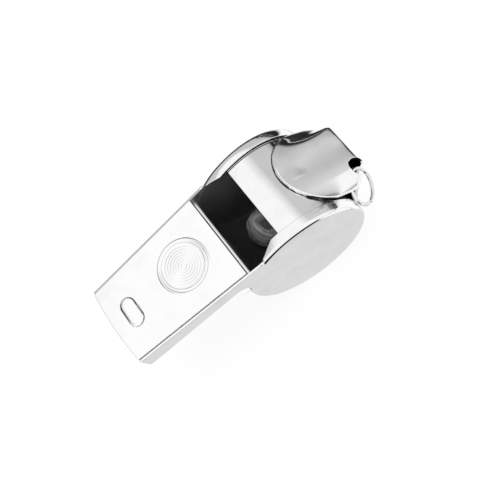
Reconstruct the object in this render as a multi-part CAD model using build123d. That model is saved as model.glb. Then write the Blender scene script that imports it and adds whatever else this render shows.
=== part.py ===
from build123d import *
import math
import os

# A pressed-steel sports whistle: rolled barrel, soldered side caps, windway, loose pea, lanyard hood, ring.
# X runs from the mouth (negative) to the back of the barrel, Y across the whistle and Z up.
# The origin is on the barrel's axis, midway between the side caps. Sizes are in mm and degrees.

# Side caps: flat plates with a turned rim round the barrel and a tongue along the mouthpiece
cap_radius = 12.25
cap_half_width = 9.8
cap_lean = 2.84
cap_sheet = 0.5
rim_sheet = 0.5
rim_width = 2.15
rim_round = 0.75
rim_full_reach = 2.6
tongue_step = 0.4
tongue_overhang = 0.12
tongue_fillet = 2.2
tongue_corner = 0.6

# Solder seams: between flat faces, between curved faces, and under the leaning rims
seam = 0.02
film = 0.06
rim_slack = 0.12

# Barrel strip: rolled wall that turns forwards as the floor of the mouthpiece
barrel_sheet = 0.5
lip_angle = 95.0
floor_rise = 2.8
floor_bend = 1.9

# Mouthpiece
mouth_reach = 33.7
mouth_bulge = 0.5
mouth_depth = 4.5
top_drop = 1.25
top_sheet = 0.6
oval_reach = 29.7
oval_length = 6.0
oval_width = 3.2
oval_height = 0.35
oval_round = 0.25
border_reach = 17.4
border_radius = 5.1
border_width = 0.35
border_height = 0.15

# Windway ramp: bent plate under the top, with a rounded nose at the window
ramp_sheet = 0.4
ramp_setback = 0.4
ramp_lap = 3.0
ramp_bend = 3.0
windway_slit = 1.0
nose_round = 0.65
nose_overhang = 0.4
nose_show = 0.45
tail_lead = 5.6
tail_bend = 1.2
tail_lap = 20.0

# Pea
pea_diameter = 8.6
pea_gap = 0.15
pea_rest_angle = -122.0
pea_offset = 1.9

# Lanyard saddle: hood folded along a ridge behind the barrel
saddle_sheet = 0.5
saddle_gap = 0.44
lobe_tip_angle = 64.5
lobe_view_angle = 45.0
lobe_wide_angle = 26.5
lobe_start_angle = 80.0
ridge_rise = 7.2
ridge_height = 1.45
flank_width = 2.95
ridge_shift = 0.6
ridge_corner = 0.4
ridge_round = 2.0
end_rise = 1.66
end_height = 3.22
end_round = 0.62
foot_land = -24.0
foot_end = -36.0
hole_diameter = 3.2
hole_setback = 3.2
slot_width = 2.25
slot_inset = 0.47
slot_top = 2.6
slot_drop = 4.1

# Lanyard ring: one turn of wire from the slot to the hood's near end, with its ends a little apart
ring_wire = 0.7
ring_radius = 3.33
ring_slot_share = 0.651
ring_slot_drop = 1.636
ring_slot_side = 0.47
ring_end_lift = 1.367
ring_end_angle = 12.58
ring_rest = -96.63
ring_split = 0.6
ring_split_angle = 18.0


def polar(radius, angle):
    """Point at a radius and angle in the XZ plane, angle 0 along +X."""
    return Vector(radius * math.cos(math.radians(angle)), radius * math.sin(math.radians(angle)))


def angle_of(point):
    """Angle of a point in the XZ plane, 0 along +X."""
    return math.degrees(math.atan2(point.Y, point.X))


def neck_bend(radius, start, rise, bend):
    """Concave bend from a circle about the origin onto a straight line.

    The line leaves start and rises at the given angle. Returns the bend's centre and its tangent points.
    """
    along = Vector(math.cos(math.radians(rise)), math.sin(math.radians(rise)))
    up = Vector(-along.Y, along.X)
    low = Vector(*start) - up * bend
    reach = low.dot(along)
    centre = low - along * (reach + math.sqrt(reach**2 - low.dot(low) + (radius + bend) ** 2))
    return centre, centre * (radius / (radius + bend)), centre + up * bend


# Sizes that follow from the ones above
barrel_radius = cap_radius - rim_sheet - rim_slack
barrel_inner = barrel_radius - barrel_sheet
lean_slope = math.tan(math.radians(cap_lean))
floor_slope = math.tan(math.radians(floor_rise))
top_height = cap_radius - top_drop
tongue_top = top_height - tongue_step
floor_under_mouth = top_height - mouth_depth
tail_radius = barrel_inner - film - ramp_sheet
floor_start = neck_bend(barrel_radius, (-mouth_reach, floor_under_mouth), floor_rise, floor_bend)
tail_angle = angle_of(floor_start[1]) - tail_lead
nose_reach = -polar(tail_radius, tail_angle).X - nose_overhang
window_reach = nose_reach + nose_show
hood_inner = barrel_radius + film
hood_outer = hood_inner + saddle_sheet
lobe_wide_reach = hood_outer * math.cos(math.radians(lobe_wide_angle))
saddle_half_width = cap_half_width - rim_width + lobe_wide_reach * lean_slope - saddle_gap
ridge_half = saddle_half_width - flank_width
near_corner = ridge_shift - ridge_half
slot_offset = near_corner - slot_inset
ridge_reach = hood_outer + ridge_rise
end_reach = hood_outer + end_rise


def side_view(y=0.0):
    """Plane whose own x and y are X and Z, at a distance y across the whistle."""
    return Plane(origin=(0, y, 0), x_dir=(1, 0, 0), z_dir=(0, -1, 0))


def inner_half(x):
    """Half the width between the caps' inner faces at a place along the whistle."""
    return cap_half_width - cap_sheet / math.cos(math.radians(cap_lean)) - seam + x * lean_slope


def between_caps():
    """Block that fills the room between the caps' inner faces."""
    front, back, tall = -2 * mouth_reach, 2 * cap_radius, 4 * cap_radius
    plan = Polyline(
        (front, -inner_half(front)),
        (back, -inner_half(back)),
        (back, inner_half(back)),
        (front, inner_half(front)),
        close=True,
    )
    plan = make_face(plan)
    return extrude(Plane.XY.offset(-tall / 2) * plan, amount=tall)


def bend_arc(centre, first, last):
    """Short arc about a centre from one point to another."""
    size = (first - centre).length
    middle = ((first - centre) + (last - centre)).normalized() * size
    return ThreePointArc(first, centre + middle, last)


def make_barrel_strip():
    mouth = Vector(-mouth_reach, floor_under_mouth)
    paths = []
    for inwards in (0.0, barrel_sheet):
        radius = barrel_radius - inwards
        bend = floor_bend + inwards
        up = Vector(-math.sin(math.radians(floor_rise)), math.cos(math.radians(floor_rise)))
        start = mouth + up * inwards
        centre, on_barrel, on_floor = neck_bend(radius, start, floor_rise, bend)
        turn = lip_angle - (angle_of(on_barrel) - 360)
        wall = CenterArc((0, 0), radius, lip_angle, -turn)
        paths.append([wall, bend_arc(centre, on_barrel, on_floor), Line(on_floor, start)])
    outer, inner = paths
    ends = [Line(outer[-1] @ 1, inner[-1] @ 1), Line(outer[0] @ 0, inner[0] @ 0)]
    profile = side_view() * make_face(outer + inner + ends)
    return extrude(profile, amount=2 * cap_half_width, both=True) & between_caps()


def make_side_cap():
    """Left cap, made lying in its own plane (toward the mouth, up, outwards) and then stood in place."""
    cup = Polyline((0, 0), (cap_radius - rim_round, 0))
    cup += RadiusArc((cap_radius - rim_round, 0), (cap_radius, -rim_round), rim_round)
    cup += Polyline(
        (cap_radius, -rim_round),
        (cap_radius, -rim_width),
        (cap_radius - rim_sheet, -rim_width),
        (cap_radius - rim_sheet, -cap_sheet),
        (0, -cap_sheet),
        (0, 0),
    )
    cap = revolve(Plane.XZ * make_face(cup), Axis.Z)

    reach = mouth_reach / math.cos(math.radians(cap_lean))
    low_mouth = floor_under_mouth - tongue_overhang
    low_start = (-reach, low_mouth)
    centre, on_disc, on_edge = neck_bend(cap_radius, low_start, floor_rise, tongue_fillet)
    top_start = math.sqrt(cap_radius**2 - tongue_top**2)
    tongue = Line((-top_start, on_disc.Y), (-top_start, tongue_top))
    tongue += Line((-top_start, tongue_top), (-reach, tongue_top))
    tongue += Line((-reach, tongue_top), (-reach, low_mouth))
    tongue += Line((-reach, low_mouth), on_edge)
    tongue += bend_arc(centre, on_edge, on_disc)
    tongue += Line(on_disc, (-top_start, on_disc.Y))
    tongue_face = make_face(tongue)
    corner = tongue_face.vertices().sort_by_distance((-reach, low_mouth))[0]
    tongue_face = fillet(corner, tongue_corner)
    tongue_face = mirror(tongue_face, Plane.YZ)
    cap += extrude(Plane.XY.offset(-cap_sheet) * tongue_face, amount=cap_sheet)

    clear = mouth_reach
    opening = Polyline(
        (rim_full_reach, -rim_width - clear),
        (rim_full_reach, -rim_width),
        (top_start, -cap_sheet),
        (clear, -cap_sheet),
        (clear, -rim_width - clear),
        close=True,
    )
    above_bend = Plane.XZ.offset(-on_disc.Y)
    cap -= extrude(above_bend * make_face(opening), amount=-clear)

    lean = math.radians(cap_lean)
    centring = rim_width / 2 * lean_slope
    stand = Plane(
        origin=(-centring, cap_half_width - centring * lean_slope, 0),
        x_dir=(-math.cos(lean), -math.sin(lean), 0),
        z_dir=(-math.sin(lean), math.cos(lean), 0),
    )
    return stand * cap


def make_mouthpiece_top():
    back = inner_half(-window_reach)
    front = inner_half(-mouth_reach)
    left, right = (-mouth_reach, front), (-mouth_reach, -front)
    plan = ThreePointArc(right, (-mouth_reach - mouth_bulge, 0), left)
    plan += Polyline(left, (-window_reach, back), (-window_reach, -back), right)
    plate = extrude(Plane.XY.offset(top_height - top_sheet) * make_face(plan), amount=top_sheet)

    seat = Plane.XY.offset(top_height - top_sheet / 2)
    oval = Pos(-oval_reach, 0) * SlotOverall(oval_length, oval_width, rotation=90)
    raised = extrude(seat * oval, amount=top_sheet / 2 + oval_height)
    raised = fillet(raised.faces().sort_by(Axis.Z)[-1].edges(), oval_round)
    border = Pos(-border_reach, 0) * (Circle(border_radius) - Circle(border_radius - border_width))
    return plate + raised + extrude(seat * border, amount=top_sheet / 2 + border_height)


def make_windway_ramp():
    def on_floor(x):
        """Height of the ramp's upper face where it lies on the floor."""
        upright = (barrel_sheet + seam + ramp_sheet) / math.cos(math.radians(floor_rise))
        return floor_under_mouth + upright + (x + mouth_reach) * floor_slope

    front = -mouth_reach + ramp_setback
    lap_end = front + ramp_lap
    nose = Vector(-nose_reach, top_height - top_sheet - windway_slit)
    tail_start = polar(tail_radius, tail_angle)
    path = FilletPolyline(
        (front, on_floor(front)),
        (lap_end, on_floor(lap_end)),
        nose,
        tail_start,
        radius=[ramp_bend, nose_round],
    )
    path += CenterArc((0, 0), tail_radius, tail_angle, tail_lap)
    sheet = make_face(offset(path, amount=ramp_sheet, side=Side.RIGHT))
    sheet = fillet(sheet.vertices().sort_by_distance(tail_start)[:2], tail_bend)
    return extrude(side_view() * sheet, amount=2 * cap_half_width, both=True) & between_caps()


def make_pea():
    orbit = tail_radius - pea_gap - pea_diameter / 2
    place = polar(orbit, pea_rest_angle)
    return Pos(place.X, pea_offset, place.Y) * Sphere(pea_diameter / 2)


def ridge_ease(y):
    """How far the ridge has turned forwards at a place across the whistle, from 0 to 1 at the hood's end."""
    corner = ridge_half + math.copysign(ridge_shift, y)
    past = abs(y) - corner
    if abs(past) < ridge_corner:
        past = (past + ridge_corner) ** 2 / (4 * ridge_corner)
    return max(0.0, past) / (saddle_half_width - corner)


def saddle_section(y):
    """Hood's sheet at one place across the whistle: lobe on the barrel, ridge, and foot on the barrel."""
    inner, outer = hood_inner, hood_outer
    middle = Vector(ridge_reach, ridge_height)
    end = Vector(end_reach, end_height)
    ease = ridge_ease(y)
    ridge = middle + (end - middle) * ease
    fold = ridge_round + (end_round - ridge_round) * ease
    spread = math.degrees(math.acos(outer / ridge.length))
    leave = angle_of(ridge) + spread
    land_angle = max(foot_land, angle_of(ridge) - spread)
    land = polar(outer, land_angle)

    back = (land - ridge).normalized()
    back_in = Vector(back.Y, -back.X)
    front_in = polar(-1.0, leave)
    corner = front_in + back_in
    ridge_inner = ridge + corner * (saddle_sheet / corner.dot(front_in))
    # where the rear sheet's inner face meets the barrel
    reach = ridge_inner.dot(back)
    chord = math.sqrt(max(0.0, reach**2 - ridge_inner.dot(ridge_inner) + inner**2))
    land_inner = ridge_inner - back * (reach + chord)

    outline = CenterArc((0, 0), outer, lobe_start_angle, leave - lobe_start_angle)
    outline += Polyline(polar(outer, leave), ridge, land)
    outline += CenterArc((0, 0), outer, land_angle, foot_end - land_angle)
    outline += Line(polar(outer, foot_end), polar(inner, foot_end))
    outline += CenterArc((0, 0), inner, foot_end, angle_of(land_inner) - foot_end)
    outline += Polyline(land_inner, ridge_inner, polar(inner, leave))
    outline += CenterArc((0, 0), inner, leave, lobe_start_angle - leave)
    outline += Line(polar(inner, lobe_start_angle), polar(outer, lobe_start_angle))
    sheet = make_face(outline)
    sheet = fillet(sheet.vertices().sort_by_distance((ridge.X, ridge.Y))[0], fold)
    sheet = fillet(sheet.vertices().sort_by_distance((ridge_inner.X, ridge_inner.Y))[0], fold - saddle_sheet)
    return side_view(y) * sheet


def make_lanyard_saddle():
    turns = (-1.0, -0.5, 0.0, 0.5, 1.0)
    near = [near_corner - turn * ridge_corner for turn in reversed(turns)]
    far = [ridge_shift + ridge_half + turn * ridge_corner for turn in turns]
    stations = [-saddle_half_width] + near + far + [saddle_half_width]
    hood = loft([saddle_section(y) for y in stations], ruled=True)

    view = math.radians(lobe_view_angle)
    lobe_plane = Plane(
        origin=(0, 0, 0),
        x_dir=(math.sin(view), 0, -math.cos(view)),
        z_dir=(math.cos(view), 0, math.sin(view)),
    )
    tip = hood_outer * math.sin(math.radians(lobe_view_angle - lobe_tip_angle))
    middle = tip + saddle_half_width
    clear = 2 * mouth_reach
    lobe = Pos(middle, 0) * Circle(saddle_half_width)
    lobe += Pos(middle + clear / 2, 0) * Rectangle(clear, 2 * saddle_half_width)
    hood = hood & extrude(lobe_plane * lobe, amount=clear, both=True)

    # a hole square to the front sheet at the ridge's near corner, and a slot from it down the rear sheet
    ridge = Vector(ridge_reach, ridge_height)
    leave = angle_of(ridge) + math.degrees(math.acos(hood_outer / ridge.length))
    up_front = polar(1.0, leave + 90)
    hole_place = ridge + up_front * hole_setback
    hole_plane = Plane(
        origin=(hole_place.X, near_corner, hole_place.Y),
        x_dir=(0, 1, 0),
        z_dir=(math.cos(math.radians(leave)), 0, math.sin(math.radians(leave))),
    )
    hood -= hole_plane * Cylinder(hole_diameter / 2, 6 * saddle_sheet)
    slot_plane = Plane(
        origin=(hood_outer, slot_offset, slot_top - slot_drop / 2),
        x_dir=(0, 0, 1),
        z_dir=(1, 0, 0),
    )
    return hood - extrude(slot_plane * SlotOverall(slot_drop, slot_width), amount=2 * ridge_rise)


def make_lanyard_ring():
    slot_reach = hood_outer + ridge_rise * ring_slot_share
    slot = Vector(slot_reach, slot_offset + ring_slot_side, ridge_height - ring_slot_drop)
    end_place = polar(barrel_radius + ring_end_lift, ring_end_angle)
    end = Vector(end_place.X, -saddle_half_width, end_place.Y)
    middle = (slot + end) / 2
    axis = (end - slot).normalized()
    away = Vector(middle.X, 0, middle.Z)
    away = (away - axis * away.dot(axis)).normalized()
    side = axis.cross(away)
    swing = math.radians(ring_rest)
    towards = away * math.cos(swing) + side * math.sin(swing)
    centre = middle + towards * math.sqrt(ring_radius**2 - ((end - slot).length / 2) ** 2)
    plane = Plane(origin=centre, x_dir=towards, z_dir=towards.cross(axis))
    split = math.degrees(ring_split / ring_radius)
    path = plane * CenterArc((0, 0), ring_radius, ring_split_angle + split / 2, 360 - split)
    section = Plane(origin=path @ 0, z_dir=path % 0) * Circle(ring_wire / 2)
    return sweep(section, path)


left_cap = make_side_cap()
pieces = {
    "barrel_strip": make_barrel_strip(),
    "side_cap_left": left_cap,
    "side_cap_right": mirror(left_cap, Plane.XZ),
    "mouthpiece_top": make_mouthpiece_top(),
    "windway_ramp": make_windway_ramp(),
    "lanyard_saddle": make_lanyard_saddle(),
    "lanyard_ring": make_lanyard_ring(),
    "pea": make_pea(),
}

os.makedirs("parts", exist_ok=True)
for name, piece in pieces.items():
    export_step(piece, f"parts/{name}.step")
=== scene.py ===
import bpy
import math
from mathutils import Matrix, Vector


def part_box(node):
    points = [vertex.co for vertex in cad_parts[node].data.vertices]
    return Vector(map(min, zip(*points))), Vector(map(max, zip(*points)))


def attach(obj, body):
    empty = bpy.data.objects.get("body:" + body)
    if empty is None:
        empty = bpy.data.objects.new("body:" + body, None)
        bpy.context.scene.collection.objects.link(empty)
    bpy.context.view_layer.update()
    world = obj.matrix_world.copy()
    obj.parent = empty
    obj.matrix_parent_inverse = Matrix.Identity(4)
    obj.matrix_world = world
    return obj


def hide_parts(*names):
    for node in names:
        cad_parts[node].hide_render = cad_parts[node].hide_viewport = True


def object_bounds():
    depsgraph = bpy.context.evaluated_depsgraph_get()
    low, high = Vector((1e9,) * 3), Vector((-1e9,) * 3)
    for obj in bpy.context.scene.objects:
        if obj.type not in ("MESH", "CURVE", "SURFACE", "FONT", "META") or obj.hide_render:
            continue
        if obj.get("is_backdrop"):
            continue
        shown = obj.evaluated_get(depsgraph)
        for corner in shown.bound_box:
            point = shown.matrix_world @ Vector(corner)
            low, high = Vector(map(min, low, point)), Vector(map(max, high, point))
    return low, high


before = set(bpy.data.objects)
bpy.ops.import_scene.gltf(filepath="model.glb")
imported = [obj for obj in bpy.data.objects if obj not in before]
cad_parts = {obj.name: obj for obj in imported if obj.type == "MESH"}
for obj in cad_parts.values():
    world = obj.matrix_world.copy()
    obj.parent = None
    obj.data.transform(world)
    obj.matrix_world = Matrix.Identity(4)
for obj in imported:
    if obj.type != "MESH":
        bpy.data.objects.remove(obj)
cad_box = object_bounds()
bpy.ops.object.select_all(action="DESELECT")


# Camera and light.
# The whistle lies on a pale table under a white tent, with the room dark beyond the table's edge.
# The tent is open and grey behind the barrel, and its near side is the brightest.
scene = bpy.context.scene
scene.view_settings.view_transform = "Standard"

lens = bpy.data.cameras.new("photo_camera")
lens.sensor_width = 36.0
lens.lens = 61.06
lens.clip_start = 0.01
camera = bpy.data.objects.new("photo_camera", lens)
camera_spot = Vector((0.010826, -0.058448, 0.137202))
camera_right = Vector((0.7413, -0.57129, -0.35227))
camera_up = Vector((0.65908, 0.7188, 0.22124))
camera_back = Vector((0.12682, -0.39618, 0.90937))
camera_turn = Matrix((camera_right, camera_up, camera_back)).transposed()
camera.matrix_world = Matrix.Translation(camera_spot) @ camera_turn.to_4x4()
scene.collection.objects.link(camera)
scene.camera = camera


def feed(tree, node, inputs):
    """Feed a node's inputs, each with a plain value or from another node's socket."""
    for name, value in inputs.items():
        if isinstance(value, bpy.types.NodeSocket):
            tree.links.new(value, node.inputs[name])
        else:
            node.inputs[name].default_value = value


def add_node(tree, kind, inputs, **settings):
    """Add a node, set it up and feed its inputs."""
    node = tree.nodes.new("ShaderNode" + kind)
    for setting, value in settings.items():
        setattr(node, setting, value)
    feed(tree, node, inputs)
    return node


def split(tree, vector):
    """The parts of a place or a direction along X, Y and Z."""
    return add_node(tree, "SeparateXYZ", {0: vector}).outputs


def reckon(tree, operation, *values):
    """One step of arithmetic."""
    return add_node(tree, "Math", dict(enumerate(values)), operation=operation).outputs[0]


def fade(tree, value, start, end, low=0.0, high=1.0, curve="LINEAR"):
    """A number that runs from low to high while a value goes from start to end."""
    inputs = {"Value": value, "From Min": start, "From Max": end, "To Min": low, "To Max": high}
    return add_node(tree, "MapRange", inputs, interpolation_type=curve).outputs["Result"]


def grey(level):
    """A colour with no tint."""
    return (level, level, level, 1)


def ramp(tree, value, stops):
    """Colours that follow each other while a value goes from 0 to 1."""
    node = add_node(tree, "ValToRGB", {"Fac": value})
    elements = node.color_ramp.elements
    for element, (position, colour) in zip(elements, (stops[0], stops[-1])):
        element.position = position
        element.color = colour
    for position, colour in stops[1:-1]:
        elements.new(position).color = colour
    return node.outputs["Color"]


def grey_ramp(tree, value, stops):
    """The same with greys, each given by its level."""
    return ramp(tree, value, [(position, grey(level)) for position, level in stops])


def mix(tree, share, first, second, blend="MIX"):
    """One colour that gives way to another while a share goes from 0 to 1."""
    inputs = {0: share, 6: first, 7: second}
    return add_node(tree, "Mix", inputs, data_type="RGBA", blend_type=blend).outputs[2]


tent = bpy.data.worlds.new("white_tent")
scene.world = tent
tent.use_nodes = True
tree = tent.node_tree
tree.nodes.clear()
x, y, z = split(tree, tree.nodes.new("ShaderNodeTexCoord").outputs["Generated"])
from_floor_up = ((0.50, 0.015), (0.55, 0.03), (0.585, 0.45), (0.66, 0.60), (0.86, 0.60), (0.93, 1.0),
                 (1.0, 1.0))
height = grey_ramp(tree, fade(tree, z, -1.0, 1.0), from_floor_up)
from_far_to_near = ((0.0, 0.0), (0.25, 0.20), (0.55, 0.34), (0.74, 0.48), (0.90, 1.0), (1.0, 1.0))
nearer = grey_ramp(tree, fade(tree, y, 0.42, -0.25), from_far_to_near)
near_side = reckon(tree, "MULTIPLY", nearer, fade(tree, z, -0.02, 0.08))
seen_in_metal = mix(tree, near_side, height, grey(1.0))
path = tree.nodes.new("ShaderNodeLightPath").outputs
metal_or_light = mix(tree, path["Is Glossy Ray"], grey(0.6), seen_in_metal)
background = mix(tree, path["Is Camera Ray"], metal_or_light, grey(1.0))
sky = add_node(tree, "Background", {"Color": background})
add_node(tree, "OutputWorld", {"Surface": sky.outputs[0]})


def object_place(tree):
    """The place of a point on a piece, in metres."""
    return tree.nodes.new("ShaderNodeTexCoord").outputs["Object"]


table_gap = 0.0002
bpy.ops.mesh.primitive_plane_add(size=4.0, location=(0, 0, cad_box[0][2] - table_gap))
table = bpy.context.object
table.name = "table"
table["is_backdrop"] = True
paper = bpy.data.materials.new("table_paper")
paper.use_nodes = True
tree = paper.node_tree
tree.nodes.clear()
x, y, z = split(tree, object_place(tree))

# in the metal the table is a pale strip between dark edges, brighter behind and at its near rear corner
from_near_to_far = ((0.0, 0.02), (0.072, 0.02), (0.080, 1.0), (0.130, 1.0), (0.140, 0.02), (0.46, 0.04),
                    (0.54, 0.5), (1.0, 0.6))
strip = grey_ramp(tree, fade(tree, y, -0.10, 0.90), from_near_to_far)
behind = fade(tree, x, 0.014, 0.024, 0.74, 1.05, "SMOOTHSTEP")
to_the_rear = reckon(tree, "MULTIPLY_ADD", y, 0.4, x)
rear_sheet = fade(tree, to_the_rear, -0.012, -0.002, curve="SMOOTHSTEP")
near_sheet = fade(tree, y, -0.020, -0.024)
corner_sheet = reckon(tree, "MULTIPLY", rear_sheet, near_sheet)
lit = reckon(tree, "MAXIMUM", reckon(tree, "MULTIPLY", strip, behind), corner_sheet)
white = add_node(tree, "Emission", {"Color": grey(1.0)})
matt = add_node(tree, "BsdfDiffuse", {"Color": grey(0.9)})
seen = add_node(tree, "Emission", {"Strength": lit})
path = tree.nodes.new("ShaderNodeLightPath").outputs
mirrored = add_node(tree, "MixShader", {0: path["Is Glossy Ray"], 1: matt.outputs[0], 2: seen.outputs[0]})
bright = reckon(tree, "MULTIPLY", path["Is Camera Ray"], 0.88)
paper_mix = add_node(tree, "MixShader", {0: bright, 1: mirrored.outputs[0], 2: white.outputs[0]})
add_node(tree, "OutputMaterial", {"Surface": paper_mix.outputs[0]})
table.data.materials.append(paper)

lamps = (("overhead", (0.05, 0.10, 0.45), 0.40, 2.0), ("near_side", (0.10, -0.40, 0.30), 0.30, 1.0))
for name, spot, size, watts in lamps:
    lamp = bpy.data.lights.new(name, "AREA")
    lamp.shape = "SQUARE"
    lamp.size = size
    lamp.energy = watts
    lamp_object = bpy.data.objects.new(name, lamp)
    lamp_object.location = spot
    lamp_object.rotation_euler = Vector(spot).to_track_quat("Z", "Y").to_euler()
    lamp_object.visible_glossy = False
    scene.collection.objects.link(lamp_object)


# Barrel strip.
# One strip of sheet steel, rolled into the barrel and turned forwards as the floor of the mouthpiece.
# It is nickel plated and buffed; inside the chamber its colour is a painted shade of grey.
def noise(tree, vector, scale, detail, roughness=0.5):
    """Soft random patches, as many to the metre as the scale says."""
    inputs = {"Vector": vector, "Scale": scale, "Detail": detail, "Roughness": roughness}
    return add_node(tree, "TexNoise", inputs).outputs["Fac"]


def bump(tree, height, depth, over=None, strength=1.0):
    """Raise a surface by a height times a depth, on top of what an earlier bump has raised."""
    inputs = {"Height": height, "Distance": depth, "Strength": strength}
    if over is not None:
        inputs["Normal"] = over
    return add_node(tree, "Bump", inputs).outputs["Normal"]


def turned(tree, vector, rotation, scale):
    """Places turned and stretched, so that a pattern on them runs in streaks."""
    inputs = {"Vector": vector, "Rotation": rotation, "Scale": scale}
    return add_node(tree, "Mapping", inputs).outputs["Vector"]


def plated_sheet(name, clean=0.945, dull=0.87):
    """Buffed plate over pressed sheet: faint press waves, hairline scratches and finger marks."""
    material = bpy.data.materials.new(name)
    material.use_nodes = True
    tree = material.node_tree
    place = object_place(tree)
    pressed = bump(tree, noise(tree, place, 130.0, 1.0), 0.00006, strength=0.5)
    pressed.node.name = "pressed"
    hairs = noise(tree, turned(tree, place, (0.3, 0.2, 0.7), (1.0, 22.0, 8.0)), 420.0, 4.0)
    scratched = bump(tree, hairs, 0.000004, pressed, 0.06)
    marks = noise(tree, place, 260.0, 6.0, 0.65)
    dulled = fade(tree, marks, 0.42, 0.72, 0.045, 0.16)
    blue = 0.004
    tone = ramp(tree, marks, ((0.40, (clean, clean, clean + blue, 1)), (0.75, (dull, dull, dull + blue, 1))))
    steel = {"Metallic": 1.0, "Roughness": dulled, "Base Color": tone, "Normal": scratched}
    feed(tree, tree.nodes["Principled BSDF"], steel)
    return material


def stain_and_shade(tree, share, level=0.022, rough=0.55):
    """Grey, dull plate where a share from 0 to 1 says so: painted shade in the chamber and in gaps, and also
    real solder smears.
    """
    steel = tree.nodes["Principled BSDF"]
    colour = steel.inputs["Base Color"].links[0].from_socket
    gloss = steel.inputs["Roughness"].links[0].from_socket
    dulled = add_node(tree, "Mix", {0: share, 2: gloss, 3: rough})
    feed(tree, steel, {"Base Color": mix(tree, share, colour, grey(level)), "Roughness": dulled.outputs[0]})


def direct(tree, operation, *values):
    """One step of arithmetic on places and directions; a length or a dot product is a plain number."""
    step = add_node(tree, "VectorMath", dict(enumerate(values)), operation=operation)
    return step.outputs["Value" if operation in ("LENGTH", "DOT_PRODUCT") else "Vector"]


def distance_from_axis(tree):
    """Distance of a point from the barrel's axis, which is the Y axis."""
    return direct(tree, "LENGTH", direct(tree, "MULTIPLY", object_place(tree), (1.0, 0.0, 1.0)))


hood_reach = 0.0121912
hood_half = 0.0077512
lobe_lean = math.radians(45.0)
lobe_middle = hood_reach * math.sin(lobe_lean - math.radians(64.5)) + hood_half
down_slope = Vector((math.sin(lobe_lean), 0, -math.cos(lobe_lean)))


def from_lobe_edge(tree):
    """Distance outside the line that the saddle's rounded lobe is cut to; below nothing under the lobe."""
    place = object_place(tree)
    past_middle = reckon(tree, "SUBTRACT", direct(tree, "DOT_PRODUCT", place, down_slope), lobe_middle)
    x, y, z = split(tree, place)
    flat = add_node(tree, "CombineXYZ", {"X": reckon(tree, "MINIMUM", past_middle, 0.0), "Y": y})
    return reckon(tree, "SUBTRACT", direct(tree, "LENGTH", flat.outputs[0]), hood_half)


def solder_smear(tree, spot, reach, level):
    """A dull, streaky smear of solder wiped off beside a seam, fading out from a spot."""
    place = object_place(tree)
    along_seam = direct(tree, "MULTIPLY", direct(tree, "SUBTRACT", place, spot), (1.0, 2.2, 1.0))
    near_spot = fade(tree, direct(tree, "LENGTH", along_seam), reach, reach * 0.25, curve="SMOOTHSTEP")
    wiped = turned(tree, place, (0.0, 0.6, 0.4), (1.0, 2.6, 1.0))
    patches = fade(tree, noise(tree, wiped, 750.0, 5.0, 0.62), 0.42, 0.60)
    stain_and_shade(tree, reckon(tree, "MULTIPLY", near_spot, patches), level, 0.36)


# painted shade: the chamber's wall is painted grey, and the strip is painted dark under the saddle's lobe and
# just past its edge
barrel_wall = 0.01142
chamber_shade_level = 0.42
seam_end = Vector((0.0082, -0.0076, 0.0089))
barrel_plate = plated_sheet("barrel_plate")
tree = barrel_plate.node_tree
inner_shade = fade(tree, distance_from_axis(tree), barrel_wall, barrel_wall - 0.00012)
lobe_gap_shade = fade(tree, from_lobe_edge(tree), 0.00010, 0.00004)
place = object_place(tree)
for direction in ((0.588, 0.0, 0.809), (1.0, 0.0, 1.0)):
    ahead = reckon(tree, "GREATER_THAN", direct(tree, "DOT_PRODUCT", place, direction), 0.0001)
    lobe_gap_shade = reckon(tree, "MULTIPLY", lobe_gap_shade, ahead)
solder_smear(tree, seam_end, 0.0036, 0.42)
stain_and_shade(tree, inner_shade, chamber_shade_level)
stain_and_shade(tree, lobe_gap_shade)


def take_up(piece):
    """Leave one piece alone selected and active."""
    bpy.ops.object.select_all(action="DESELECT")
    piece.select_set(True)
    bpy.context.view_layer.objects.active = piece


def even_shine(piece, angle):
    """Round the shading over bends up to an angle, with the large flat faces left flat."""
    bpy.ops.object.shade_smooth_by_angle(angle=angle)
    even = piece.modifiers.new("even", "WEIGHTED_NORMAL")
    even.keep_sharp = True
    bpy.ops.object.modifier_apply(modifier=even.name)


soft_bend = math.radians(32.0)
sharp_bend = math.radians(50.0)


def broken_edges(node, name, material, width, crowded=None):
    """Copy a node of the frame, join its faces and break its sharp edges as buffing does.

    Edges in a crowded corner, given by its lowest and highest points, stay as they are."""
    piece = bpy.data.objects.new(name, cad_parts[node].data.copy())
    piece.data.name = name
    scene.collection.objects.link(piece)
    take_up(piece)
    bpy.ops.object.mode_set(mode="EDIT")
    bpy.ops.mesh.select_all(action="SELECT")
    bpy.ops.mesh.remove_doubles(threshold=1e-6)
    bpy.ops.mesh.dissolve_limited(angle_limit=math.radians(0.5))
    if crowded:
        for corner in crowded:
            bpy.ops.mesh.select_all(action="SELECT")
            bpy.ops.mesh.bisect(plane_co=(corner.x, 0, 0), plane_no=(1, 0, 0))
    bpy.ops.mesh.select_mode(type="EDGE")
    bpy.ops.mesh.select_all(action="DESELECT")
    bpy.ops.mesh.edges_select_sharp(sharpness=sharp_bend)
    bpy.ops.object.mode_set(mode="OBJECT")
    weights = piece.data.attributes.new("bevel_weight_edge", "FLOAT", "EDGE")
    for edge in piece.data.edges:
        middle = sum((piece.data.vertices[index].co for index in edge.vertices), Vector()) / 2
        spared = False
        if crowded:
            low, high = crowded
            spared = low.x < middle.x < high.x and low.z < middle.z < high.z
        weights.data[edge.index].value = 1.0 if edge.select and not spared else 0.0
    broken = piece.modifiers.new("broken", "BEVEL")
    broken.width = width
    broken.segments = 3
    broken.use_clamp_overlap = False
    broken.limit_method = "WEIGHT"
    bpy.ops.object.modifier_apply(modifier=broken.name)
    even_shine(piece, soft_bend)
    piece.data.materials.clear()
    piece.data.materials.append(material)
    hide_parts(node)
    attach(piece, "shell")
    return piece


broken_edges("barrel_strip", "rolled_barrel", barrel_plate, 0.00008)
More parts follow.
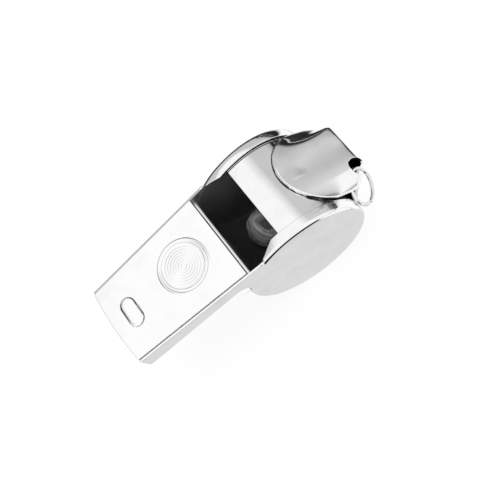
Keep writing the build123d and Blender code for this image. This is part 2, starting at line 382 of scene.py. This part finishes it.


# Side caps.
# Two pressed cups of the same sheet, each with a rim turned over the barrel and a tongue to the mouth.
# They are soldered to the barrel strip, and their inner faces carry the chamber's painted shade.
cap_half_width = 0.0098
cap_lean = 0.0496
cap_sheet = 0.0005
cap_plate = plated_sheet("cap_plate")
tree = cap_plate.node_tree
x, y, z = split(tree, object_place(tree))
from_middle = reckon(tree, "MULTIPLY_ADD", x, -cap_lean, reckon(tree, "ABSOLUTE", y))
# painted shade: the inner faces are painted grey inside the chamber and in the window
inner_face = reckon(tree, "LESS_THAN", from_middle, cap_half_width - 0.0004)
in_chamber = reckon(tree, "LESS_THAN", distance_from_axis(tree), 0.01168)
in_window = reckon(tree, "LESS_THAN", x, -0.0058)
in_shade = reckon(tree, "MAXIMUM", in_chamber, in_window)
solder_smear(tree, seam_end, 0.0052, 0.60)
stain_and_shade(tree, reckon(tree, "MULTIPLY", inner_face, in_shade), chamber_shade_level)

# painted shade: the step of the left rim is painted dark where it meets the barrel; that rim is a little
# crowned
rim_edge = 0.00765
left_side = reckon(tree, "GREATER_THAN", y, 0.0)
step = reckon(tree, "LESS_THAN", from_middle, rim_edge + 0.000008)
stain_and_shade(tree, reckon(tree, "MULTIPLY", step, left_side))
crown = fade(tree, from_middle, rim_edge + 0.0008, rim_edge + 0.0016)
crown.node.clamp = False
on_rim = fade(tree, distance_from_axis(tree), 0.01185, 0.0121)
on_left_rim = reckon(tree, "MULTIPLY", on_rim, left_side)
fall = reckon(tree, "MULTIPLY", reckon(tree, "MULTIPLY", crown, crown), on_left_rim)
feed(tree, tree.nodes["pressed"], {"Normal": bump(tree, fall, -0.00010)})
rim_foot = (Vector((-0.0069, 0, 0.0093)), Vector((-0.0052, 0, 0.0125)))
for node, name in (("side_cap_left", "left_cap"), ("side_cap_right", "right_cap")):
    broken_edges(node, name, cap_plate, 0.00010, rim_foot)


# Windway ramp.
# A bent plate under the top that narrows the breath to a slit and ends in a rounded nose at the window.
# It lies on the floor of the mouthpiece and its tail is soldered inside the barrel.
broken_edges("windway_ramp", "bent_ramp", plated_sheet("ramp_plate"), 0.00008)


# Mouthpiece top.
# A flat plate blanked from the same sheet, pressed with an oval for the teeth and a round, grooved panel.
# It is plated, soldered between the two tongues, and its edges are broken by buffing.
top_height = 0.011
top_sheet = 0.0006
top_gap = 0.00002
top_edge = 0.00014
mouth_reach = 0.0337
mouth_bulge = 0.00048
mouth_cuts = 23
rear_reach = 0.00942
oval_middle = Vector((-0.0297, 0, top_height))
oval_round = 0.0016
oval_straight = 0.0014
panel_middle = Vector((-0.0174, 0, top_height))
panel_round = 0.0051


def pick_vertices(piece, wanted):
    """Select in edit mode just the vertices whose place passes a test."""
    bpy.ops.object.mode_set(mode="EDIT")
    bpy.ops.mesh.select_mode(type="VERT")
    bpy.ops.mesh.select_all(action="DESELECT")
    bpy.ops.object.mode_set(mode="OBJECT")
    for vertex in piece.data.vertices:
        vertex.select = wanted(vertex.co)
    bpy.ops.object.mode_set(mode="EDIT")


def move_vertices(piece, wanted, value):
    """Move just the vertices whose place passes a test."""
    pick_vertices(piece, wanted)
    bpy.ops.transform.translate(value=value)
    bpy.ops.object.mode_set(mode="OBJECT")


def top_half_width(x):
    """Half the room between the two leaning tongues at a place along the whistle."""
    return cap_half_width - cap_sheet / math.cos(math.atan(cap_lean)) - top_gap + cap_lean * x


def just_added(name):
    """Name the primitive that was just added and put its place into its mesh."""
    piece = bpy.context.object
    piece.name = name
    piece.data.name = name
    bpy.ops.object.transform_apply(location=True, rotation=True, scale=True)
    return piece


blank_middle = -0.02
bpy.ops.object.select_all(action="DESELECT")
bpy.ops.mesh.primitive_plane_add(size=1.0, location=(blank_middle, 0, top_height))
plate = just_added("top_plate")
for along, aside in ((1, 1), (1, -1), (-1, 1), (-1, -1)):
    x = -rear_reach if along > 0 else -mouth_reach
    corner = Vector((blank_middle + along * 0.5, aside * 0.5, top_height))
    spot = Vector((x, aside * top_half_width(x), top_height))
    move_vertices(plate, lambda co: (co - corner).length < 0.3, spot - corner)
pick_vertices(plate, lambda co: co.x < -mouth_reach + 1e-6)
bpy.ops.mesh.subdivide(number_cuts=mouth_cuts)
bpy.ops.object.mode_set(mode="OBJECT")
mouth_half = top_half_width(-mouth_reach)
for step in range(1, mouth_cuts + 1):
    y = mouth_half * (2 * step / (mouth_cuts + 1) - 1)
    bulge = -mouth_bulge * (1 - (y / mouth_half) ** 2)
    move_vertices(plate, lambda co: co.x < -mouth_reach + 1e-4 and abs(co.y - y) < 1e-5, (bulge, 0, 0))
bpy.ops.object.mode_set(mode="EDIT")
bpy.ops.mesh.select_all(action="SELECT")
bpy.ops.mesh.delete(type="ONLY_FACE")

# the two pressed forms start as loops in the flat
bpy.ops.mesh.primitive_circle_add(vertices=72, radius=oval_round, location=oval_middle)
bpy.ops.object.mode_set(mode="OBJECT")
for side in (-1, 1):
    move_vertices(plate, lambda co: (co - oval_middle).length < oval_round * 1.25 and co.y * side > 1e-6,
                  (0, side * oval_straight, 0))
bpy.ops.object.mode_set(mode="EDIT")
bpy.ops.mesh.primitive_circle_add(vertices=160, radius=panel_round, location=panel_middle)
bpy.ops.mesh.select_all(action="SELECT")
bpy.ops.mesh.fill(use_beauty=True)
bpy.ops.object.mode_set(mode="OBJECT")


def from_oval_line(co):
    """Distance of a point of the plate from the straight line along the middle of the oval."""
    return (co.xy - oval_middle.xy - Vector((0, max(-oval_straight, min(oval_straight, co.y))))).length


# the oval: a soft foot, a wall that is steepest towards the window, a rounded brow and a low crown
lopsided = 0.37
oval_wall = ((0.00005, 0.00008), (0.00011, 0.000125), (0.00011, 0.000125), (0.00005, 0.00010),
             (0.000015, 0.00015), (0.000005, 0.00020))
pick_vertices(plate, lambda co: from_oval_line(co) < oval_round + 1e-5)
bpy.ops.mesh.mark_sharp()
for rise, draw in oval_wall:
    bpy.ops.mesh.extrude_edges_move(TRANSFORM_OT_translate={"value": (0, 0, rise)})
    bpy.ops.object.mode_set(mode="OBJECT")
    brow = [vertex.co.copy() for vertex in plate.data.vertices if vertex.select]
    bpy.ops.object.mode_set(mode="EDIT")
    front = min(co.x for co in brow)
    rear = max(co.x for co in brow)
    half = (rear - front) / 2
    length = max(co.y for co in brow)
    pivot = ((front + rear) / 2 + half * lopsided, 0, brow[0].z)
    bpy.ops.transform.resize(value=(1 - draw / half, 1 - draw / length, 1), center_override=pivot)
bpy.ops.mesh.edge_face_add()
bpy.ops.object.mode_set(mode="OBJECT")

# the panel: two thin raised rings with a flat between, and shallow turned grooves inside them
outer_ring = ((0.00005, 0.00006), (0.00006, 0.00008), (0.00003, 0.00008), (0.00001, 0.00006),
              (-0.00001, 0.00006), (-0.00003, 0.00008), (-0.00006, 0.00008), (-0.00005, 0.00006),
              (0.0, 0.00018))
inner_ring = ((0.00004, 0.00006), (0.00003, 0.00006), (0.00001, 0.00005),
              (-0.00001, 0.00005), (-0.00003, 0.00006), (-0.00004, 0.00006), (0.0, 0.00020))
groove = ((-0.00001, 0.00007), (-0.000006, 0.00007), (0.0, 0.00006), (0.000006, 0.00006),
          (0.00001, 0.00007), (0.000006, 0.00007), (0.0, 0.00006), (-0.000006, 0.00006))
grooves = 7
pick_vertices(plate, lambda co: abs((co.xy - panel_middle.xy).length - panel_round) < 2e-6)
bpy.ops.mesh.mark_sharp()
reach = panel_round
for rise, draw in outer_ring + inner_ring + groove * grooves:
    bpy.ops.mesh.extrude_edges_move(TRANSFORM_OT_translate={"value": (0, 0, rise)})
    shrink = (reach - draw) / reach
    bpy.ops.transform.resize(value=(shrink, shrink, 1), center_override=panel_middle)
    reach -= draw
bpy.ops.mesh.edge_face_add()
bpy.ops.object.mode_set(mode="OBJECT")


def on_outline(co):
    """Whether a point of the plate lies on its blanked outline."""
    if co.x > -rear_reach - 1e-6 or abs(abs(co.y) - top_half_width(co.x)) < 1e-6:
        return True
    return abs(co.x + mouth_reach + mouth_bulge * (1 - (co.y / mouth_half) ** 2)) < 2e-6


pick_vertices(plate, on_outline)
bpy.ops.mesh.extrude_edges_move(TRANSFORM_OT_translate={"value": (0, 0, -top_sheet)})
bpy.ops.mesh.edge_face_add()
bpy.ops.mesh.select_all(action="SELECT")
bpy.ops.mesh.normals_make_consistent(inside=False)
bpy.ops.object.mode_set(mode="OBJECT")
pick_vertices(plate, lambda co: abs(co.z - top_height) < 1e-7 and on_outline(co))
bpy.ops.mesh.bevel(offset=top_edge, segments=4, affect="EDGES")
bpy.ops.object.mode_set(mode="OBJECT")
even_shine(plate, math.radians(24.0))

# painted shade in patches along the crease at the oval's foot, growing towards one end
top_steel = plated_sheet("top_steel", 0.985, 0.955)
tree = top_steel.node_tree
place = object_place(tree)
from_oval = direct(tree, "SUBTRACT", place, oval_middle)
x, y, z = split(tree, from_oval)
straight = add_node(tree, "Clamp", {"Value": y, "Min": -oval_straight, "Max": oval_straight})
round_end = reckon(tree, "SUBTRACT", y, straight.outputs["Result"])
outwards = direct(tree, "LENGTH", add_node(tree, "CombineXYZ", {"X": x, "Y": round_end}).outputs[0])
from_foot = reckon(tree, "ABSOLUTE", reckon(tree, "SUBTRACT", outwards, oval_round - 0.00003))
in_crease = fade(tree, from_foot, 0.00013, 0.00005)
crease_patches = fade(tree, noise(tree, place, 900.0, 3.0), 0.36, 0.52)
near_end = fade(tree, direct(tree, "DOT_PRODUCT", from_oval, (0.80, -0.60, 0.0)), -0.0002, 0.0024)
stain_and_shade(tree, reckon(tree, "MULTIPLY", in_crease, reckon(tree, "MULTIPLY", crease_patches, near_end)), 0.05)
plate.data.materials.append(top_steel)
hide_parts("mouthpiece_top")
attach(plate, "shell")


# Lanyard saddle.
# A folded sheet behind the barrel, soldered down by its rounded lobe and its foot, painted dark inside as
# shade.
# The ring hangs from a hole punched at the near corner of its ridge.
hood_sheet = 0.0005
foot_angle = -36.0
foot_land = -24.0
lobe_top = 80.0
ridge_apex = Vector((0.0193912, 0.00145))
end_apex = Vector((0.0138512, 0.00322))
ridge_fold = 0.0020
end_fold = 0.00062
near_corner = -0.0042012
far_corner = 0.0054012
near_ease = 0.0004
far_ease = 0.0011
crease_bow = 0.00065
foot_steps = 4
rear_steps = 4
fold_steps = 14
front_steps = 12
lobe_steps = 16


def round_barrel(radius, angle):
    """Point beside the barrel at an angle up from the back, as x and z."""
    return Vector((radius * math.cos(math.radians(angle)), radius * math.sin(math.radians(angle))))


def crease_place(y, along):
    """Where a line near the far crease runs across the whistle, from the ridge at 0 to the lobe at 1."""
    if abs(y - far_corner) > far_ease * 1.001:
        return y
    spread = 0.45 + 0.55 * min(1.0, along / 0.3)
    return far_corner - crease_bow * math.sin(math.pi * along) + (y - far_corner) * spread


def spin_on(steps, angle, centre, y):
    """Draw the line on round a centre given by x and z."""
    bpy.ops.mesh.spin(steps=steps, angle=angle, center=(centre.x, y, centre.y), axis=(0, 1, 0))


def run_on(move, aside=0.0):
    """Draw the line on straight by x and z, and aside across the whistle."""
    bpy.ops.mesh.extrude_region_move(TRANSFORM_OT_translate={"value": (move.x, aside, move.y)})


def hood_line(y):
    """Bend one line of the sheet at a place across the whistle: foot, rear, fold, front and lobe."""
    corner, end, soft = (far_corner, hood_half, far_ease) if y > 0 else (near_corner, -hood_half, near_ease)
    past = abs(y) - abs(corner)
    if abs(past) < soft:
        past = (past + soft) ** 2 / (4 * soft)
    ease = max(0.0, past) / (abs(end) - abs(corner))
    apex = ridge_apex.lerp(end_apex, ease)
    fold = ridge_fold + (end_fold - ridge_fold) * ease
    lift = math.degrees(math.atan2(apex.y, apex.x))
    spread = math.degrees(math.acos(hood_reach / apex.length))
    leave = lift + spread
    land = max(foot_land, lift - spread)
    foot = round_barrel(hood_reach, foot_angle)
    landing = round_barrel(hood_reach, land)
    lobe = round_barrel(hood_reach, leave)
    to_front = (lobe - apex).normalized()
    to_rear = (landing - apex).normalized()
    half_open = math.acos(to_front.dot(to_rear)) / 2
    setback = fold / math.tan(half_open)
    fold_centre = apex + (to_front + to_rear).normalized() * (fold / math.sin(half_open))
    fold_rear = apex + to_rear * setback
    fold_front = apex + to_front * setback
    axis = Vector((0, 0))

    start = crease_place(y, 0.0)
    bpy.ops.mesh.primitive_plane_add(size=0.001, location=(foot.x, start, foot.y))
    line = bpy.context.object
    bpy.ops.object.transform_apply(location=True, rotation=True, scale=True)
    bpy.ops.object.mode_set(mode="EDIT")
    bpy.ops.mesh.select_all(action="SELECT")
    bpy.ops.mesh.merge(type="CENTER")
    spin_on(foot_steps, math.radians(land - foot_angle), axis, start)
    for step in range(rear_steps):
        run_on((fold_rear - landing) / rear_steps)
    spin_on(fold_steps, math.pi - 2 * half_open, fold_centre, start)
    for step in range(front_steps):
        aside = crease_place(y, (step + 1) / front_steps) - crease_place(y, step / front_steps)
        run_on((lobe - fold_front) / front_steps, aside)
    spin_on(lobe_steps, math.radians(lobe_top - leave), axis, crease_place(y, 1.0))
    bpy.ops.object.mode_set(mode="OBJECT")
    return line


def rounded_place(co):
    """A point's place to a hundredth of a micrometre, to find it again."""
    return tuple(round(part, 8) for part in co)


places = [-hood_half] + [near_corner + turn / 2 * near_ease for turn in range(-2, 3)]
places += [far_corner + turn / 4 * far_ease for turn in range(-4, 5)] + [hood_half]
lines = [hood_line(y) for y in places]
line_points = [{rounded_place(vertex.co) for vertex in line.data.vertices} for line in lines]
bpy.ops.object.select_all(action="DESELECT")
for line in lines:
    line.select_set(True)
bpy.context.view_layer.objects.active = lines[0]
bpy.ops.object.join()
hood = bpy.context.object
hood.name = "lanyard_hood"
hood.data.name = "lanyard_hood"
for number in range(len(places) - 1):
    wanted = line_points[number] | line_points[number + 1]
    pick_vertices(hood, lambda co: rounded_place(co) in wanted)
    gap = places[number + 1] - places[number]
    cuts = 8 if gap > 0.002 else 2 if gap > 0.001 else 0
    bpy.ops.mesh.bridge_edge_loops(number_cuts=cuts, interpolation="LINEAR")

# the rounded lobe, cut by planes square to the sheet's slope
for step in range(-29, 30):
    angle = math.radians(3.0 * step)
    outward = Vector((0, math.sin(angle), 0)) - down_slope * math.cos(angle)
    bpy.ops.mesh.select_all(action="SELECT")
    spot = down_slope * lobe_middle + outward * hood_half
    bpy.ops.mesh.bisect(plane_co=spot, plane_no=outward, clear_outer=True)
bpy.ops.mesh.select_all(action="SELECT")
bpy.ops.mesh.remove_doubles(threshold=4e-6)
bpy.ops.mesh.normals_make_consistent(inside=False)
bpy.ops.object.mode_set(mode="OBJECT")
sheet = hood.modifiers.new("sheet", "SOLIDIFY")
sheet.thickness = hood_sheet
sheet.offset = -1.0
sheet.use_even_offset = True
sheet.material_offset = 1
bpy.ops.object.modifier_apply(modifier=sheet.name)

# the hole, a little countersunk, and the slot below it for the ring
hole_round = 0.0016
hole_back = 0.0032
sink_start = 0.0004
sink_depth = 0.0005
sink_flare = 1.28
front_angle = math.degrees(math.atan2(ridge_apex.y, ridge_apex.x) + math.acos(hood_reach / ridge_apex.length))
hole_place = ridge_apex + round_barrel(hole_back, front_angle + 90.0)
hole_across = Vector((math.cos(math.radians(front_angle)), 0, math.sin(math.radians(front_angle))))
hole_turn = math.radians(90.0 - front_angle)
hole_spot = Vector((hole_place.x, near_corner, hole_place.y))
bpy.ops.mesh.primitive_cylinder_add(vertices=72, radius=hole_round, depth=0.0014,
                                    location=hole_spot - hole_across * 0.0008, rotation=(0, hole_turn, 0))
punch = just_added("punch")
pick_vertices(punch, lambda co: (co - hole_spot).dot(hole_across) > -sink_start)
bpy.ops.mesh.extrude_region_move(TRANSFORM_OT_translate={"value": hole_across * sink_depth})
bpy.ops.transform.resize(value=(sink_flare, sink_flare, sink_flare),
                         center_override=hole_spot + hole_across * (sink_depth - 0.0001))
bpy.ops.mesh.select_all(action="SELECT")
bpy.ops.mesh.normals_make_consistent(inside=False)
bpy.ops.object.mode_set(mode="OBJECT")
slot_width = 0.00225
slot_drop = 0.0041
slot_round_middle = 0.0026 - slot_width / 2
slot_run = 0.0144
slot_spot = Vector((hood_reach + slot_run / 2, near_corner - 0.00047, slot_round_middle))
bpy.ops.mesh.primitive_cylinder_add(vertices=48, radius=slot_width / 2, depth=slot_run,
                                    rotation=(0, math.pi / 2, 0), location=slot_spot)
slotter = just_added("slotter")
move_vertices(slotter, lambda co: co.z < slot_round_middle - 1e-6, (0, 0, slot_width - slot_drop))
for cutter in (punch, slotter):
    take_up(hood)
    cut = hood.modifiers.new("cut", "BOOLEAN")
    cut.operation = "DIFFERENCE"
    cut.solver = "EXACT"
    cut.object = cutter
    bpy.ops.object.modifier_apply(modifier=cut.name)
    bpy.data.objects.remove(cutter)
bpy.ops.object.shade_smooth_by_angle(angle=soft_bend)

# painted shade: the lobe's cut edge is painted dark where it lies low on the barrel, and so is the wall of
# the hole
hood_plate = plated_sheet("hood_plate")
tree = hood_plate.node_tree
place = object_place(tree)
x, y, z = split(tree, place)
rim = fade(tree, from_lobe_edge(tree), -0.00004, -0.00001)
dark_height = fade(tree, y, -0.0035, -0.0062, 0.01180, 0.01225)
low_rim = reckon(tree, "MULTIPLY", rim, reckon(tree, "LESS_THAN", distance_from_axis(tree), dark_height))
from_hole = direct(tree, "SUBTRACT", place, hole_spot)
off_axis = direct(tree, "LENGTH", direct(tree, "CROSS_PRODUCT", from_hole, hole_across))
hole_wall = reckon(tree, "LESS_THAN", off_axis, hole_round + 0.00002)
in_front = reckon(tree, "GREATER_THAN", direct(tree, "DOT_PRODUCT", from_hole, hole_across), -0.0012)
stain_and_shade(tree, reckon(tree, "MAXIMUM", low_rim, reckon(tree, "MULTIPLY", hole_wall, in_front)))


def drawn_out(tree, value, share):
    """A measure that counts for less above nothing, so that a form runs out further that way."""
    above = reckon(tree, "MAXIMUM", value, 0.0)
    return reckon(tree, "MULTIPLY_ADD", above, share, reckon(tree, "MINIMUM", value, 0.0))


# one knock on the lobe and a soft wave across the front, from the forming tool
knock_spot = Vector((0.00718, -0.0009, 0.00985))
knock_reach = 0.0009
from_knock = direct(tree, "SUBTRACT", place, knock_spot)
downhill = drawn_out(tree, direct(tree, "DOT_PRODUCT", from_knock, down_slope), 0.5)
sideways = drawn_out(tree, split(tree, from_knock)["Y"], 0.25)
flat = add_node(tree, "CombineXYZ", {"X": reckon(tree, "MULTIPLY", downhill, 0.55), "Y": sideways})
knock = fade(tree, direct(tree, "LENGTH", flat.outputs[0]), knock_reach, 0.0, curve="SMOOTHERSTEP")
knocked = bump(tree, knock, 0.00010)
run = reckon(tree, "MULTIPLY_ADD", y, -1047.0, -2.18)
wander = reckon(tree, "MULTIPLY_ADD", noise(tree, place, 150.0, 0.0), 1.6, run)
waved = bump(tree, reckon(tree, "SINE", wander), 0.00008, knocked)

# the near flank falls away to the end
to_end = fade(tree, y, -0.0050, -0.00775)
on_flank = fade(tree, x, 0.0078, 0.0112, curve="SMOOTHSTEP")
flank_fall = reckon(tree, "MULTIPLY", reckon(tree, "MULTIPLY", to_end, to_end), on_flank)
flanked = bump(tree, flank_fall, -0.00028, waved)

# the lobe's edge is rounded over by buffing
edge_round = 0.00036
over_edge = fade(tree, from_lobe_edge(tree), -edge_round, 0.0)
left_over = reckon(tree, "SUBTRACT", 1.0, reckon(tree, "MULTIPLY", over_edge, over_edge))
rounded = bump(tree, reckon(tree, "SQRT", left_over), edge_round, flanked)
feed(tree, tree.nodes["pressed"], {"Normal": rounded})

hood_inside = plated_sheet("hood_inside")
tree = hood_inside.node_tree
# painted shade: the inside of the saddle is painted dark, a little uneven
inside_shade = fade(tree, noise(tree, object_place(tree), 300.0, 2.0), 0.0, 1.0, 0.94, 1.0)
stain_and_shade(tree, inside_shade)
hood.data.materials.append(hood_plate)
hood.data.materials.append(hood_inside)
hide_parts("lanyard_saddle")
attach(hood, "shell")


# Lanyard ring.
# One turn of round steel wire, plated bright, hanging in the saddle's hole and slot.
# It is wound on a rod and cut, so its two ends stand a little apart, and it is squeezed shut by hand.
ring_centre = Vector((0.014758, -0.006688, 0.000451))
ring_radius = 0.00333
wire_radius = 0.00035
wire_end_round = 0.00011
hang = Vector((-0.0211, -0.6325, -0.7743)).normalized()
swing = Vector((-0.66902, -0.56637, 0.4813)).normalized()
ring_across = hang.cross(swing).normalized()
split_middle = math.radians(18.0)
split_half = 0.0003 / ring_radius


def on_ring(angle):
    """Middle of the wire at an angle round the ring, and the way it runs there."""
    spot = ring_centre + (hang * math.cos(angle) + swing * math.sin(angle)) * ring_radius
    return spot, swing * math.cos(angle) - hang * math.sin(angle)


first_end, first_run = on_ring(split_middle + split_half)
last_end, last_run = on_ring(split_middle - split_half)
bpy.ops.object.select_all(action="DESELECT")
bpy.ops.mesh.primitive_circle_add(vertices=24, radius=wire_radius, fill_type="NGON", location=first_end,
                                  rotation=first_run.to_track_quat("Z", "Y").to_euler())
wire = just_added("wire_ring")
bpy.ops.object.mode_set(mode="EDIT")
bpy.ops.mesh.select_all(action="SELECT")
bpy.ops.mesh.spin(steps=150, angle=2 * math.pi - 2 * split_half, center=ring_centre, axis=-ring_across)
bpy.ops.mesh.select_all(action="SELECT")
bpy.ops.mesh.remove_doubles(threshold=1e-7)
bpy.ops.mesh.normals_make_consistent(inside=False)
bpy.ops.object.mode_set(mode="OBJECT")
for end, run in ((first_end, first_run), (last_end, last_run)):
    pick_vertices(wire, lambda co: (co - end).length < 0.0004 and abs((co - end).dot(run)) < 2e-6)
    bpy.ops.mesh.bevel(offset=wire_end_round, segments=4, affect="EDGES")
    bpy.ops.object.mode_set(mode="OBJECT")
take_up(wire)
bpy.ops.object.shade_smooth_by_angle(angle=math.radians(40.0))
wire.data.materials.append(plated_sheet("wire_plate", 0.86, 0.62))
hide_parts("lanyard_ring")
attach(wire, "ring")


# Pea.
# A ball of pressed cork, loose in the chamber, turned roughly round and a little lumpy.
# Its colour is painted shade, far darker than cork, with a paler ring round a dark spot and curved streaks of
# grain.
pea_low, pea_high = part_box("pea")
pea_middle = (Vector(pea_low) + Vector(pea_high)) / 2
pea_radius = (pea_high[0] - pea_low[0]) / 2
bpy.ops.object.select_all(action="DESELECT")
bpy.ops.mesh.primitive_ico_sphere_add(subdivisions=6, radius=pea_radius - 0.00002, location=pea_middle)
ball = just_added("cork_pea")
lumps = bpy.data.textures.new("cork_lumps", "CLOUDS")
lumps.noise_scale = 0.0020
lumps.noise_depth = 2
lumpy = ball.modifiers.new("lumpy", "DISPLACE")
lumpy.texture = lumps
lumpy.texture_coords = "LOCAL"
lumpy.mid_level = 0.0
lumpy.strength = -0.0006
bpy.ops.object.modifier_apply(modifier=lumpy.name)
bpy.ops.object.shade_smooth()

cork = bpy.data.materials.new("cork")
cork.use_nodes = True
tree = cork.node_tree
centred = turned(tree, object_place(tree), (0.0, 0.0, 0.35), (1.0, 1.9, 1.0))
centred.node.vector_type = "TEXTURE"
feed(tree, centred.node, {"Location": pea_middle + Vector((0.0007, -0.0017, 0.0038))})
growth = {"Vector": centred, "Scale": 420.0, "Distortion": 5.0, "Detail": 3.0, "Detail Scale": 1.5}
streaks = add_node(tree, "TexWave", growth, wave_type="RINGS", rings_direction="SPHERICAL").outputs["Fac"]
specks = noise(tree, centred, 330.0, 5.0)
# painted shade: the colour goes from dark to a paler ring and back with the distance from one spot
from_spot = reckon(tree, "MULTIPLY_ADD", specks, 0.0036, direct(tree, "LENGTH", centred))
paler = ((0.17, 0.09), (0.27, 0.30), (0.42, 0.34), (0.52, 0.17), (0.75, 0.20))
stops = [(position, (level, level * 0.985, level * 0.965, 1)) for position, level in paler]
stops = [(0.0, (0.07, 0.068, 0.066, 1))] + stops + [(1.0, (0.12, 0.117, 0.114, 1))]
shades = ramp(tree, fade(tree, from_spot, 0.0018, 0.0068), stops)
streaked = mix(tree, 1.0, shades, fade(tree, streaks, 0.0, 1.0, 0.78, 1.15), "MULTIPLY")
pitted = bump(tree, reckon(tree, "MULTIPLY_ADD", streaks, 0.6, specks), 0.00012, strength=0.6)
grain = {"Base Color": streaked, "Roughness": fade(tree, streaks, 0.0, 1.0, 0.9, 0.55), "Normal": pitted}
feed(tree, tree.nodes["Principled BSDF"], {"Specular IOR Level": 0.3, **grain})
ball.data.materials.append(cork)
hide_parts("pea")
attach(ball, "pea")


size = {"cad": [list(corner) for corner in cad_box], "visual": [list(corner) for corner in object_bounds()]}
